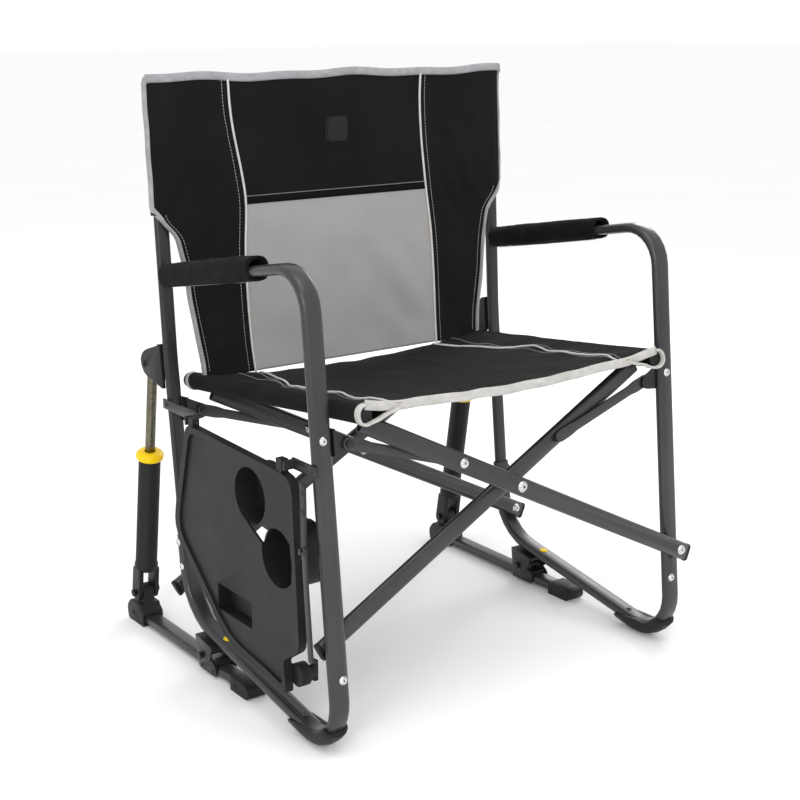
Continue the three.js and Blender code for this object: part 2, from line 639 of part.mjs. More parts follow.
function links() {
  // Links and plates fill the room between the two scissor tubes, each beside its own tube.
  const linkRoom = CROSS.width / 2 + LINK_THICK / 2 + 1.4;
  const plateRoom = LINK_THICK / 2 + 2.4;
  const ends = [
    ['front', FRONT_S, { half: TUBE.width / 2, s: LEG_S }],
    ['rear', REAR_S, { half: POST.width / 2, s: POST_S }],
  ];
  for (const [end, tubes, host] of ends) {
    for (const side of [-1, 1]) {
      const s = (side < 0 ? tubes.a : tubes.b) - side * linkRoom;
      link(`${sideName(side)}_${end}_link`, side, s);
      hingeBracket(`${sideName(side)}_${end}_hinge`, side, host, s - side * plateRoom);
    }
  }
}

// ---- side tray ----------------------------------------------------------------------------
// Outlines are (y, z) in the hanging position.
const TRAY_OUTLINE = [
  [-4, 396, 14], [-292, 388, 26], [-304, 146, 12], [-262, 118, 6], [-268, 68, 10], [-232, 74, 20],
  [-108, 88, 40], [-40, 146, 30], [44, 222, 26], [38, 262, 20],
];
const CUP = { y: -177, z: 332, r: 41, deep: 30 };
const MUG = { y: -248, z: 262, r: 42, deep: 46 };
const SLOT = { y: [-174, -78], z: [132, 172], deep: 14 };

const onTray = (outline, from, depth) => place(
  new THREE.ExtrudeGeometry(outline, { depth, bevelEnabled: false }), vec(from, 0, 0), S, H, X,
);

function circle({ y, z, r }, grow = 0) {
  return new THREE.Shape(new THREE.Path().absarc(y, z, r + grow, 0, Math.PI * 2).getPoints(12));
}

function insetOutline(inset) {
  const middle = { y: -140, z: 235 };
  return TRAY_OUTLINE.map(([y, z, radius]) => {
    const away = Math.hypot(y - middle.y, z - middle.z);
    const scale = (away - inset * 1.25) / away;
    return [middle.y + (y - middle.y) * scale, middle.z + (z - middle.z) * scale, radius * 0.85];
  });
}

function tray() {
  const outer = TRAY_X - TRAY_THICK;
  const plate = onTray(roundedOutline(TRAY_OUTLINE, 3), outer, TRAY_THICK);
  const rim = onTray(roundedOutline(TRAY_OUTLINE, 3), outer - TRAY_RIM, TRAY_RIM + 1);
  const field = onTray(roundedOutline(insetOutline(11)), outer - TRAY_RIM - 5, TRAY_RIM + 5);
  const back = onTray(roundedOutline(insetOutline(5)), outer + 4, TRAY_THICK);
  const wells = [CUP, MUG].map((well) => onTray(circle(well, TRAY_WALL), outer, TRAY_THICK + well.deep));
  const slotShape = (grow) => roundedOutline([
    [SLOT.y[0] - grow, SLOT.z[0] - grow, 4], [SLOT.y[1] + grow, SLOT.z[0] - grow, 4],
    [SLOT.y[1] + grow, SLOT.z[1] + grow, 4], [SLOT.y[0] - grow, SLOT.z[1] + grow, 4],
  ], 2);
  const slotWell = onTray(slotShape(TRAY_WALL), outer, TRAY_THICK + SLOT.deep);
  const neck = roundedOutline([
    [CUP.y - 12, CUP.z - 34, 6], [MUG.y + 12, MUG.z + 32, 6],
    [MUG.y + 40, MUG.z + 8, 6], [CUP.y + 12, CUP.z - 40, 6],
  ], 2);
  const hollows = [
    ...[CUP, MUG].map((well) => onTray(circle(well), outer - 20, 20 + TRAY_THICK + well.deep - TRAY_WALL)),
    onTray(slotShape(0), outer - 20, 20 + TRAY_THICK + SLOT.deep - TRAY_WALL),
    onTray(neck, outer - 20, 20 + 5),
  ];
  const [hingeX, hingeZ] = TRAY_HINGE;
  const lugs = TRAY_LUG_Y.map((y) => box([11, 14, 19], [hingeX + 0.5, y, hingeZ - 3.5]));
  const pinHoles = TRAY_LUG_Y.map((y) => rod(3.5, vec(hingeX, y - 20, hingeZ), vec(hingeX, y + 20, hingeZ)));
  const body = join(cut(join(plate, rim), field, back), onTray(roundedOutline(insetOutline(4)), outer, 3.2));
  const full = cut(join(body, lugs, wells, slotWell), hollows, pinHoles);
  addUpright('side_tray', full, 'tray');
}

// The metal strip on the tray's front edge, with its rivets.
function trayStrap() {
  const edgeX = TRAY_X - TRAY_THICK - TRAY_RIM;
  const [y0, y1] = [-320, -307];
  const outline = roundedOutline([[y0, 278, 6], [y1, 278, 4], [y1, 386, 4], [y0, 386, 6]]);
  const heads = [372, 346].map((z) => head(vec(edgeX + 3, y0 + 6, z), X.clone().negate(), 4.6));
  const [eyeX, , eyeZ] = BRACE_EYE;
  const eye = box([8.5, 6, 9], [eyeX + 1.2, y0 + 3.5, eyeZ]);
  const bore = rod(2.2, vec(eyeX, y0 - 5, eyeZ), vec(eyeX, y0 + 12, eyeZ), 10);
  addUpright('tray_strap', cut(join(onTray(outline, edgeX + 3, 3), heads, eye), bore), 'steel');
}

// The brace hangs from the strip's eye and slides down the leg to prop the open tray.
function trayBrace() {
  const [eyeX, eyeY, eyeZ] = BRACE_EYE;
  const x = eyeX - 1.5;
  const [top, foot] = [[eyeY, eyeZ], [-336, 148]];
  const bars = roundedOutline([
    [foot[0] - 5, foot[1] - 6, 4], [foot[0] + 5, foot[1] - 6, 4], [top[0] + 4, top[1] - 24, 5],
    [top[0] + 4, top[1] + 8, 4], [top[0] - 4, top[1] + 8, 4], [top[0] - 5, top[1] - 24, 5],
  ]);
  const hook = box([4, 9, 4], [x + 4, foot[0], foot[1] - 2]);
  const pin = rod(1.6, vec(eyeX, eyeY, eyeZ), vec(eyeX, eyeY + 13, eyeZ), 8);
  const rivet = head(vec(x, ...top), X.clone().negate(), 3.8);
  addUpright('tray_brace', join(onTray(bars, x, 3), hook, pin, rivet), 'steel');
}

// Fixed straps on the leg and post, each with a tab and the pin that the tray turns on.
function trayHinge(name, [bodyY, tabY], plateX, pinTo) {
  const [x, z] = TRAY_HINGE;
  const thick = 3;
  const plate = box([thick, Math.abs(bodyY - tabY), 15], [plateX + thick / 2, (bodyY + tabY) / 2, z + 1]);
  const inward = Math.sign(pinTo - tabY);
  const tab = box([plateX + thick - x + 6, 4, 13], [(plateX + thick + x - 6) / 2, tabY - inward * 2, z]);
  const pin = rod(3, vec(x, tabY - inward * 2, z), vec(x, pinTo, z));
  const rivet = head(vec(plateX, bodyY + Math.sign(tabY - bodyY) * 10, z + 1), X.clone().negate(), 4.6, 2.4);
  addUpright(name, join(plate, tab, pin, rivet), 'steel');
}

// The clip on the tray's lower corner, with its wing knob.
function trayClip() {
  const [y, z] = [-274, 97];
  const x = TRAY_X + GAP;
  const across = (radius, from, to, sides) => rod(radius, vec(x + from, y, z), vec(x + to, y, z), sides);
  const foot = box([5, 22, 22], [x + 2.5, y + 14, z]);
  const wing = box([7, 9, 31], [x + 30, y, z]);
  addUpright('tray_clip', join(across(17, 0, 16, 16), across(9, 15, 30, 12), foot, wing), 'plastic');
}

function trayHardware() {
  const legOuter = -SIDE_X - TUBE.width / 2;
  const postOuter = -SIDE_X - POST.width / 2;
  trayStrap();
  trayBrace();
  trayClip();
  trayHinge('tray_front_hinge', [-330, TRAY_LUG_Y[0] - 12], legOuter - GAP - 3, TRAY_LUG_Y[0] + 9);
  trayHinge('tray_rear_hinge', [100, TRAY_LUG_Y[1] + 12], postOuter - GAP - 3, TRAY_LUG_Y[1] - 9);
}

// ---- seat and back cloth ------------------------------------------------------------------
// Each panel is cut in halves down the middle, so that each half belongs to the frame it hangs on.
function seatHalf(side) {
  const inner = side * GAP;
  const rail = side * RAIL_X;
  const [front, rear] = [RAIL_S[0] + 12, POST_S - 26];
  const sleeve = new THREE.Shape(roundPoints(rail, RAIL_R + 3.4, 8));
  const bore = new THREE.Shape(roundPoints(rail, RAIL_R + 0.7, 8));
  const panel = new THREE.Shape([
    new THREE.Vector2(inner, -8), new THREE.Vector2(rail, RAIL_R - 1),
    new THREE.Vector2(rail, RAIL_R + FABRIC - 1),
    new THREE.Vector2(inner, FABRIC - 8),
  ]);
  const run = (shape, from, to) => place(
    new THREE.ExtrudeGeometry(shape, { depth: to - from, bevelEnabled: false }),
    vec(0, to, RAIL_H), X, H, S.clone().negate(),
  );
  const whole = join(run(sleeve, front + 42, rear - 14), run(panel, front, rear));
  const solid = cut(whole, run(bore, front - 5, rear + 5));
  addLeaned(`${sideName(side)}_seat_cloth`, solid, 'cloth');
}

function backHalf(side) {
  const inner = side * GAP;
  const armPassH = 690;
  const panel = roundedOutline([
    [inner, 452, 0.5], [side * 262, 452, 6], [side * 282, 640, 30], [side * 302, 700, 10],
    [side * 302, POST_TOP_H + 4, 1], [inner, POST_TOP_H + 4, 0.5],
  ]);
  const tilt = Math.atan2(POST_S - POST_TOP_S, POST_TOP_H - POST_KINK_H);
  const along = vec(0, -Math.sin(tilt), Math.cos(tilt));
  const across = X.clone().cross(along);
  const base = vec(0, POST_S, POST_KINK_H);
  const sheet = place(
    new THREE.ExtrudeGeometry(panel, { depth: FABRIC, bevelEnabled: false }),
    base.clone().addScaledVector(across, 9).addScaledVector(along, -POST_KINK_H), X, along, across,
  );
  const ring = roundedOutline([[-18, -11, 9], [18, -11, 9], [18, 13, 8], [-18, 13, 8]]);
  ring.holes.push(new THREE.Path(flatOval(POST, -0.9).getPoints(3)));
  const at = (h) => vec(side * SIDE_X, POST_S, POST_KINK_H).addScaledVector(along, h - POST_KINK_H);
  const sleeve = bar(ring, at(armPassH), at(POST_TOP_H + 6), X.clone().negate());
  const solid = join(sheet, sleeve);
  addLeaned(`${sideName(side)}_back_cloth`, solid, 'cloth');
}

// ---- assembly -----------------------------------------------------------------------------
for (const side of [-1, 1]) {
  sideTube(side);
  backPost(side);
  armPad(side);
  frontFoot(side);
  pivotDot(side);
  rockerBracket(side);
  runner(side);
  runnerBracket(side);
  knuckle(side);
  piston(side);
  rodBracket(side);
  seatRail(side);
  seatHalf(side);
  backHalf(side);
}
scissorFrames();
links();
tray();
trayHardware();

export default chair;
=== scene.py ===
"""Looks of the camp rocking chair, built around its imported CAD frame.

Metres, +Z up; the sitter faces -Y. The steel and plastic are the frame's own nodes with new materials and
rounded edges. The cloths, the arm pads and the bright rivet heads are built here, each on its own body.
"""
import math

import bmesh
import bpy
import numpy as np
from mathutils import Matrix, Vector, noise


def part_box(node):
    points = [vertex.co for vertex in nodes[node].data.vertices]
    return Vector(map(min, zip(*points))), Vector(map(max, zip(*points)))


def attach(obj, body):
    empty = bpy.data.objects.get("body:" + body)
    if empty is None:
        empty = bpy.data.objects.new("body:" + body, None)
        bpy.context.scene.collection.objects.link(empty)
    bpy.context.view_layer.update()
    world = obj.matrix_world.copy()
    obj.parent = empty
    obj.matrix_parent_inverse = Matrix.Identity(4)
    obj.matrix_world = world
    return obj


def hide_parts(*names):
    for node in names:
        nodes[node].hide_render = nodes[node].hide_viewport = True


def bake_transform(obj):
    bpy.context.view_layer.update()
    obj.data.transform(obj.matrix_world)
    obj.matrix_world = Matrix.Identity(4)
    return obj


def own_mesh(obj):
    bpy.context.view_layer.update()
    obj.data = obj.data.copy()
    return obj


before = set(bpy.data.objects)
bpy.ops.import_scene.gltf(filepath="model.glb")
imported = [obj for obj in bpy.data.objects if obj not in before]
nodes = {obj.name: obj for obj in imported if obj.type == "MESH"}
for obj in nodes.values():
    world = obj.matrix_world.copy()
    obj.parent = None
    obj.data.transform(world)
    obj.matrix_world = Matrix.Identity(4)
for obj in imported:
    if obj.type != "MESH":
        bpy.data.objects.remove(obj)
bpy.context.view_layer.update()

# ---- the leaned frame that the legs, posts and rails are square to ---------------------------
LEAN = math.radians(6)
COS, SIN = math.cos(LEAN), math.sin(LEAN)


def leaned(x, s, h):
    """A point of the frame from its leaned depth s and height h."""
    return Vector((x, s * COS + h * SIN, -s * SIN + h * COS))


def unleaned(p):
    """(x, s, h) of a point of the frame."""
    return Vector((p.x, p.y * COS - p.z * SIN, p.y * SIN + p.z * COS))


def middle(node):
    """Middle of a node's box."""
    low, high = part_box(node)
    return (low + high) / 2


def leaned_span(node):
    """(lowest, highest) x, s and h of a CAD node."""
    points = np.array([unleaned(v.co) for v in nodes[node].data.vertices])
    return points.min(0), points.max(0)


DEPTH, HEIGHT = leaned(0, 1, 0), leaned(0, 0, 1)
FORWARD = -DEPTH
LEFT_X, RIGHT_X = middle("left_back_post").x, middle("right_back_post").x
MID_X = (LEFT_X + RIGHT_X) / 2
SIDE = (RIGHT_X - LEFT_X) / 2

rail_low, rail_high = leaned_span("left_seat_rail")
RAIL_R = (rail_high[0] - rail_low[0]) / 2
RAIL_X = MID_X - (rail_high[0] + rail_low[0]) / 2
RAIL_H = (rail_high[2] + rail_low[2]) / 2
RAIL_FRONT, RAIL_REAR = rail_low[1], rail_high[1]

post_low, post_high = leaned_span("left_back_post")
POST_WIDE = post_high[0] - post_low[0]
POST_THICK = 0.0115       # the posts' flat-oval section, front to back
POST_S = post_high[1] - POST_THICK / 2
POST_TOP = post_high[2]
POST_BENT = 0.402         # height of the posts' upper part, above their kink
POST_KINK = POST_TOP - POST_BENT
POST_BOW = 0.018 / POST_BENT


def pad_end(node, rear):
    """(lowest, highest) height of an arm pad's front or rear end, and its depth."""
    points = np.array([unleaned(v.co) for v in nodes[node].data.vertices])
    end = points[:, 1].max() if rear else points[:, 1].min()
    near = points[abs(points[:, 1] - end) < 0.004]
    return near[:, 2].min(), near[:, 2].max(), end


PAD_UNDER = 0.6           # share of a pad's height below the tube's middle
front_low, front_high, PAD_FRONT = pad_end("left_arm_pad", False)
rear_low, rear_high, PAD_REAR = pad_end("left_arm_pad", True)
PAD_TALL = (front_high - front_low + rear_high - rear_low) / 2
ARM_FALL = (front_low - rear_low) / (PAD_REAR - PAD_FRONT)


def arm_h(s):
    """Height of the arm tubes' middle at a depth: they fall toward the back."""
    return front_low + PAD_UNDER * PAD_TALL - (s - PAD_FRONT) * ARM_FALL


def post_s(h):
    """Depth of the back posts' middle at a height: they bow forward above their kink."""
    return POST_S - max(0.0, h - POST_KINK) * POST_BOW


# ---- materials -------------------------------------------------------------------------------
def grey(value, tint=(0, 0, 0)):
    """A linear colour from an 8-bit display grey and a tint on top."""
    return tuple((max(0, value + t) / 255) ** 2.2 for t in tint) + (1.0,)


class Shader:
    """A Principled material that is put together node by node."""

    def __init__(self, name, **sockets):
        self.material = bpy.data.materials.new(name)
        self.material.use_nodes = True
        self.tree = self.material.node_tree
        self.bsdf = self.tree.nodes["Principled BSDF"]
        for socket, value in sockets.items():
            self.bsdf.inputs[socket.replace("_", " ")].default_value = value
        self.heights = []

    def node(self, kind, inputs=(), **settings):
        made = self.tree.nodes.new("ShaderNode" + kind)
        for key, value in settings.items():
            setattr(made, key, value)
        for socket, value in dict(inputs).items():
            if isinstance(value, bpy.types.NodeSocket):
                self.tree.links.new(value, made.inputs[socket])
            else:
                made.inputs[socket].default_value = value
        return made

    def link(self, output, socket):
        self.tree.links.new(output, self.bsdf.inputs[socket])

    def place(self, scale=(1, 1, 1), source="Object"):
        """Texture coordinates in metres, from the object or from its UV map."""
        coordinates = self.node("TexCoord").outputs[source]
        return self.node("Mapping", {"Vector": coordinates, "Scale": scale}).outputs["Vector"]

    def noise(self, scale, detail=3, source="Object", stretch=(1, 1, 1)):
        where = self.place(stretch, source)
        made = self.node("TexNoise", {"Vector": where, "Scale": scale, "Detail": detail})
        return made.outputs["Fac"]

    def ramp(self, value, low, high):
        """The value's middle part stretched to run from low to high."""
        return self.node(
            "MapRange", {"Value": value, "From Min": 0.3, "From Max": 0.7, "To Min": low, "To Max": high}
        ).outputs["Result"]

    def blend(self, value, a, b):
        mix = self.node("Mix", data_type="RGBA")
        for socket, entry in ((mix.inputs[0], value), (mix.inputs[6], a), (mix.inputs[7], b)):
            if isinstance(entry, bpy.types.NodeSocket):
                self.tree.links.new(entry, socket)
            else:
                socket.default_value = entry
        return mix.outputs[2]

    def math(self, operation, a, b=0.0):
        made = self.node("Math", operation=operation)
        for socket, entry in ((made.inputs[0], a), (made.inputs[1], b)):
            if isinstance(entry, bpy.types.NodeSocket):
                self.tree.links.new(entry, socket)
            else:
                socket.default_value = entry
        return made.outputs[0]

    def colour(self, value, a, b):
        self.link(self.blend(value, a, b), "Base Color")

    def roughness(self, value, low, high):
        self.link(self.ramp(value, low, high), "Roughness")

    def bump(self, height, distance, strength=1.0):
        """Adds a bump of that height in metres on top of the ones before."""
        inputs = {"Height": height, "Distance": distance, "Strength": strength}
        if self.heights:
            inputs["Normal"] = self.heights[-1]
        self.heights.append(self.node("Bump", inputs).outputs["Normal"])
        self.link(self.heights[-1], "Normal")


def painted_steel(name, value, tint=(0, 0, 3), rough=(0.3, 0.42), metallic=0.55):
    """Powder coat: fine orange peel, metal flake and faint rubbed patches."""
    s = Shader(name, Metallic=metallic, Coat_Weight=0.16, Coat_Roughness=0.22)
    flake = s.noise(1400, 1)
    cloud = s.noise(9, 4)
    base = s.blend(s.ramp(flake, 0, 1), grey(value - 8, tint), grey(value + 12, tint))
    s.colour(s.ramp(cloud, 0, 0.35), base, grey(value + 22, tint))
    s.roughness(cloud, *rough)
    s.bump(s.noise(420, 2), 0.00012)
    scratch = s.noise(60, 5, stretch=(6, 0.4, 6))
    s.bump(s.ramp(scratch, 0, 1), 0.00005)
    return s.material


def moulded(name, value, tint=(0, 0, 1), grain=700, depth=0.00014, rough=(0.42, 0.6)):
    """Injection-moulded plastic with a spark-eroded grain and a little dust in it."""
    s = Shader(name, Specular_IOR_Level=0.28)
    cloud = s.noise(14, 4)
    s.colour(s.ramp(cloud, 0, 1), grey(value - 4, tint), grey(value + 7, tint))
    s.roughness(cloud, *rough)
    cell = s.node("TexVoronoi", {"Vector": s.place(), "Scale": grain}, feature="SMOOTH_F1")
    s.bump(cell.outputs["Distance"], depth)
    s.bump(s.noise(55, 3), 0.0002, 0.5)
    return s.material


def weave_height(s, pitch, source="UV"):
    """Height of a plain weave with that thread pitch, from 0 to 1."""
    turns = 2 * math.pi / pitch
    where = s.node("SeparateXYZ", {"Vector": s.place(source=source)})
    across = s.math("SINE", s.math("MULTIPLY", where.outputs["X"], turns))
    along = s.math("SINE", s.math("MULTIPLY", where.outputs["Y"], turns))
    crossed = s.math("MULTIPLY", across, along)
    ribs = s.math("ADD", s.math("MULTIPLY", across, across), s.math("MULTIPLY", along, along))
    return s.math("ADD", s.math("MULTIPLY", crossed, 0.35), s.math("MULTIPLY", ribs, 0.32))


def woven(name, dark, light, pitch, depth, rough=0.9, sheen=0.02, tint=(0, 0, 0), melange=0.5):
    """Woven polyester: the threads from the UV map in metres, with slubs and soft clouds of dust."""
    s = Shader(name, Roughness=rough, Sheen_Weight=sheen, Sheen_Roughness=0.45, Specular_IOR_Level=0.10)
    weave = weave_height(s, pitch)
    slub = s.noise(1 / pitch * 0.4, 2, "UV", (1, 0.12, 1))
    cloud = s.noise(7, 5, "UV")
    threads = s.blend(weave, grey(dark, tint), grey(light, tint))
    slubbed = s.blend(s.ramp(slub, 0, melange), threads, grey((dark + light) / 2 - 4, tint))
    s.colour(s.ramp(cloud, 0, 0.3), slubbed, grey(light + 6, tint))
    s.bump(weave, depth)
    s.bump(s.noise(45, 4, "UV"), 0.0006, 0.35)
    return s.material


def ribbon(name, dark, light, tint=(0, 0, 0)):
    """Grosgrain tape and cord: fine ribs across it."""
    s = Shader(name, Roughness=0.85, Specular_IOR_Level=0.15)
    where = s.node("SeparateXYZ", {"Vector": s.place(source="UV")})
    rib = s.math("SINE", s.math("MULTIPLY", where.outputs["X"], 2 * math.pi / 0.0011))
    worn = s.noise(60, 4, "UV")
    s.colour(s.ramp(worn, 0, 1), grey(dark, tint), grey(light, tint))
    s.bump(rib, 0.00014)
    return s.material


def knit_foam(name, value):
    """The arm pads' soft knitted skin."""
    s = Shader(name, Roughness=0.93, Sheen_Weight=0.03, Sheen_Roughness=0.5, Specular_IOR_Level=0.08)
    weave = weave_height(s, 0.0011)
    cloud = s.noise(30, 4, "UV")
    s.colour(s.ramp(cloud, 0, 1), grey(value - 4), grey(value + 7))
    s.bump(weave, 0.00018)
    s.bump(s.noise(110, 4, "UV"), 0.0007, 0.4)
    return s.material


def bright_metal(name, value, tint=(0, 0, 0), rough=(0.16, 0.3)):
    """Plated or polished steel, with turning marks."""
    s = Shader(name, Metallic=1.0)
    cloud = s.noise(160, 4)
    s.colour(s.ramp(cloud, 0, 1), grey(value - 14, tint), grey(value + 14, tint))
    s.roughness(cloud, *rough)
    s.bump(s.noise(900, 2), 0.00003)
    return s.material


TUBE = painted_steel("frame_tube", 56)
POST = painted_steel("post_tube", 34, tint=(3, 0, 1), rough=(0.34, 0.48), metallic=0.3)
STEEL = painted_steel("dark_steel", 38, rough=(0.34, 0.5))
PLASTIC = moulded("black_plastic", 27)
TRAY = moulded("tray_plastic", 31, grain=520, depth=0.0002, rough=(0.46, 0.62))
YELLOW = moulded("yellow_plastic", 236, tint=(8, -34, -236), grain=900, depth=0.00006, rough=(0.3, 0.45))
ROD = bright_metal("rod_steel", 104, tint=(4, 0, -14), rough=(0.14, 0.24))
RIVET = bright_metal("rivet_steel", 205, rough=(0.18, 0.34))
BLACK = woven("black_fabric", 21, 36, 0.0011, 0.00016)
PALE = woven("mesh_fabric", 142, 184, 0.0016, 0.0003, rough=0.75, tint=(1, -1, -2), melange=0.35)
HEM = woven("hem_fabric", 17, 28, 0.0009, 0.0001)
BINDING = ribbon("back_binding", 146, 168, tint=(0, 0, 3))
EDGING = ribbon("seat_edging", 182, 204, tint=(2, 0, -4))
PIPING = ribbon("piping", 200, 218, tint=(2, 0, -3))
THREAD = ribbon("stitch_thread", 176, 198)
BARTACK = ribbon("bartack_thread", 112, 130, tint=(24, -48, -48))
PAD = knit_foam("pad_knit", 23)

SLOTS = {
    "side_tube": TUBE, "back_post": POST, "runner_tube": TUBE, "cross": TUBE, "rail": TUBE, "link": TUBE,
    "bracket": STEEL, "hinge": STEEL, "strap": STEEL, "brace": STEEL,
    "cap": PLASTIC, "plug": PLASTIC, "foot": PLASTIC, "knuckle": PLASTIC, "cylinder": PLASTIC,
    "clip": PLASTIC, "rod_bracket": PLASTIC, "side_tray": TRAY, "pivot_dot": YELLOW,
    "piston_collar": YELLOW, "piston_rod": ROD, "cloth": BLACK, "arm_pad": PAD,
}


def dress_cad(name, node):
    """Gives a CAD node its finish and rounds its hard edges with modifiers."""
    matches = [key for key in SLOTS if key in name]
    finish = SLOTS[max(matches, key=lambda key: (name.endswith(key), len(key)))]
    node.data.materials.clear()
    node.data.materials.append(finish)
    custom = node.data.attributes.get("custom_normal")
    if custom:
        node.data.attributes.remove(custom)
    node.data.shade_smooth()
    weld = node.modifiers.new("weld", "WELD")
    weld.merge_threshold = 0.00002
    bevel = node.modifiers.new("edge", "BEVEL")
    bevel.width = 0.0009 if finish in (PLASTIC, TRAY, YELLOW) else 0.0005
    bevel.segments = 2
    bevel.limit_method = "ANGLE"
    bevel.angle_limit = math.radians(42)
    bevel.harden_normals = False
    split = node.modifiers.new("facets", "EDGE_SPLIT")
    split.split_angle = math.radians(41)


for node_name, cad_node in nodes.items():
    dress_cad(node_name, cad_node)


# ---- mesh helpers ----------------------------------------------------------------------------
def new_object(name, mesh, materials):
    made = bpy.data.objects.new(name, mesh)
    bpy.context.scene.collection.objects.link(made)
    for material in materials:
        mesh.materials.append(material)
    mesh.shade_smooth()
    return made


class Surface:
    """Gathers vertices, faces, UVs in metres and material numbers into one mesh."""

    def __init__(self):
        self.points, self.faces, self.uvs, self.finish = [], [], [], []

    def grid(self, rows, finish=None, closed=False):
        """Adds a grid of rows of (point, (u, v)); finish(i, j) numbers the material of each cell."""
        start = len(self.points)
        width = len(rows[0])
        for row in rows:
            self.points.extend(p for p, _ in row)
        for i in range(len(rows) - 1):
            for j in range(width if closed else width - 1):
                k = (j + 1) % width
                cell = [(i, j), (i, k), (i + 1, k), (i + 1, j)]
                self.faces.append([start + a * width + b for a, b in cell])
                corner_uvs = [rows[a][b][1] for a, b in cell]
                if k < j:
                    ring = rows[i][1][1][1] - rows[i][0][1][1]
                    for n in (1, 2):
                        u, v = rows[cell[n][0]][j][1]
                        corner_uvs[n] = (u, v + ring)
                self.uvs.extend(corner_uvs)
                self.finish.append(finish(i, j) if finish else 0)
        return start

    def cap(self, loop):
        """Closes a loop of vertex numbers with a fan."""
        centre = sum((self.points[n] for n in loop), Vector()) / len(loop)
        self.points.append(centre)
        top = len(self.points) - 1
        for a, b in zip(loop, loop[1:] + loop[:1]):
            self.faces.append([a, b, top])
            self.uvs.extend([(0, 0), (0.001, 0), (0, 0.001)])
            self.finish.append(0)

    def build(self, name, materials):
        mesh = bpy.data.meshes.new(name)
        mesh.from_pydata(self.points, [], self.faces)
        layer = mesh.uv_layers.new(name="UVMap")
        layer.data.foreach_set("uv", np.array(self.uvs, np.float32).ravel())
        mesh.polygons.foreach_set("material_index", self.finish)
        mesh.update()
        bm = bmesh.new()
        bm.from_mesh(mesh)
        bmesh.ops.recalc_face_normals(bm, faces=bm.faces)
        bm.to_mesh(mesh)
        bm.free()
        return new_object(name, mesh, materials)


def frames_along(path, up):
    """(point, side, normal) at each point of a path."""
    found = []
    for i, p in enumerate(path):
        tangent = (path[min(i + 1, len(path) - 1)] - path[max(i - 1, 0)]).normalized()
        side = tangent.cross(up).normalized()
        found.append((p, side, side.cross(tangent)))
    return found


def sweep(surface, path, section, up):
    """Sweeps a closed section of (side, normal) offsets along a path, with closed ends."""
    rows, run = [], 0.0
    around = [0.0]
    for a, b in zip(section, section[1:]):
        around.append(around[-1] + math.dist(a, b))
    for i, (p, side, normal) in enumerate(frames_along(path, up)):
        run += (p - path[i - 1]).length if i else 0.0
        rows.append([(p + side * a + normal * b, (run, around[n])) for n, (a, b) in enumerate(section)])
    start = surface.grid(rows, closed=True)
    count = len(section)
    last = start + (len(rows) - 1) * count
    surface.cap([start + n for n in range(count)])
    surface.cap([last + n for n in range(count)])


def oval(wide, tall, sides=10):
    """A closed superellipse section, wide along side and tall along normal."""
    angles = [2 * math.pi * n / sides for n in range(sides)]
    soft = 0.75
    return [
        (
            math.copysign(abs(math.cos(a)) ** soft, math.cos(a)) * wide / 2,
            math.copysign(abs(math.sin(a)) ** soft, math.sin(a)) * tall / 2,
        )
        for a in angles
    ]


def resampled(path, step):
    """A polyline again, with points about step apart."""
    lengths = [0.0]
    for a, b in zip(path, path[1:]):
        lengths.append(lengths[-1] + (b - a).length)
    count = max(2, round(lengths[-1] / step))
    at = np.linspace(0, lengths[-1], count + 1)
    columns = [np.interp(at, lengths, [p[k] for p in path]) for k in range(3)]
    return [Vector(p) for p in zip(*columns)]


def stitches(surface, path, up):
    """Separate raised stitches along a path, their ends dipping into the cloth."""
    pitch, length, thick = 0.0052, 0.0034, 0.0009
    dip = up * thick * 0.35
    dense = resampled(path, pitch)
    for a, b in zip(dense, dense[1:]):
        way = (b - a).normalized()
        half = way * length / 2
        centre = (a + b) / 2
        sweep(surface, [centre - half - dip, centre, centre + half - dip], oval(thick, thick, 6), up)


def ripple(x, y, z, scale, seed):
    """Smooth noise from -1 to 1."""
    return noise.noise(Vector((x * scale + seed, y * scale - seed, z * scale + 2 * seed)))


def smooth(value, low, high):
    """Eases from 0 at low to 1 at high."""
    t = min(1.0, max(0.0, (value - low) / (high - low)))
    return t * t * (3 - 2 * t)


# ---- back cloth ------------------------------------------------------------------------------
CLOTH = 0.0011            # thickness of both cloths
STITCH_LIFT = 0.0008      # stitches stand this far off the cloth, and piping twice as far
STITCH_OUT = 0.0105       # stitch lines run this far outside the piping
SEAM_X = 0.178            # piping lines, out from the middle
HEM_H = 0.706             # seam between the black upper panel and the pale mesh
BACK_TOP = POST_TOP + 0.008
BACK_LOW = RAIL_H + 0.006
SLEEVE_LOW = 0.700        # lower end of the sleeves round the posts
SLEEVE_X = SIDE + 0.0065  # where the front panel turns into the sleeve
SLEEVE_OUT = SIDE + POST_WIDE / 2 + 0.0030   # outermost line of the sleeves
SLEEVE_SIDE = 0.4         # share of a sleeve's ring that goes round the post's outer side
SLEEVE_FLAP = 0.030       # the rear layer reaches this far in past the post
STAND_OFF = 0.0115        # the panel lies this far in front of the posts' middle
WAIST_X = RAIL_X + 0.001  # half width at the back cloth's lower edge
SHOULDER_X = SIDE - 0.016  # and where its waist meets the corner of the sleeve
BACK_SLACK = 0.010        # depth of the hollow in the middle
PLEAT, FOLD, PUCKER = 0.0022, 0.0048, 0.0016   # heights of its wrinkles


def back_edge(h):
    """Half width of the back cloth: straight sleeves above, a curved waist below."""
    low = smooth(h, BACK_LOW, 0.60)
    high = smooth(h, 0.585, SLEEVE_LOW)
    corner = smooth(h, SLEEVE_LOW - 0.046, SLEEVE_LOW) ** 1.3
    flare = 0.017
    edge = WAIST_X + flare * low + (SHOULDER_X - WAIST_X - flare) * high
    return edge + (SLEEVE_X - SHOULDER_X) * corner


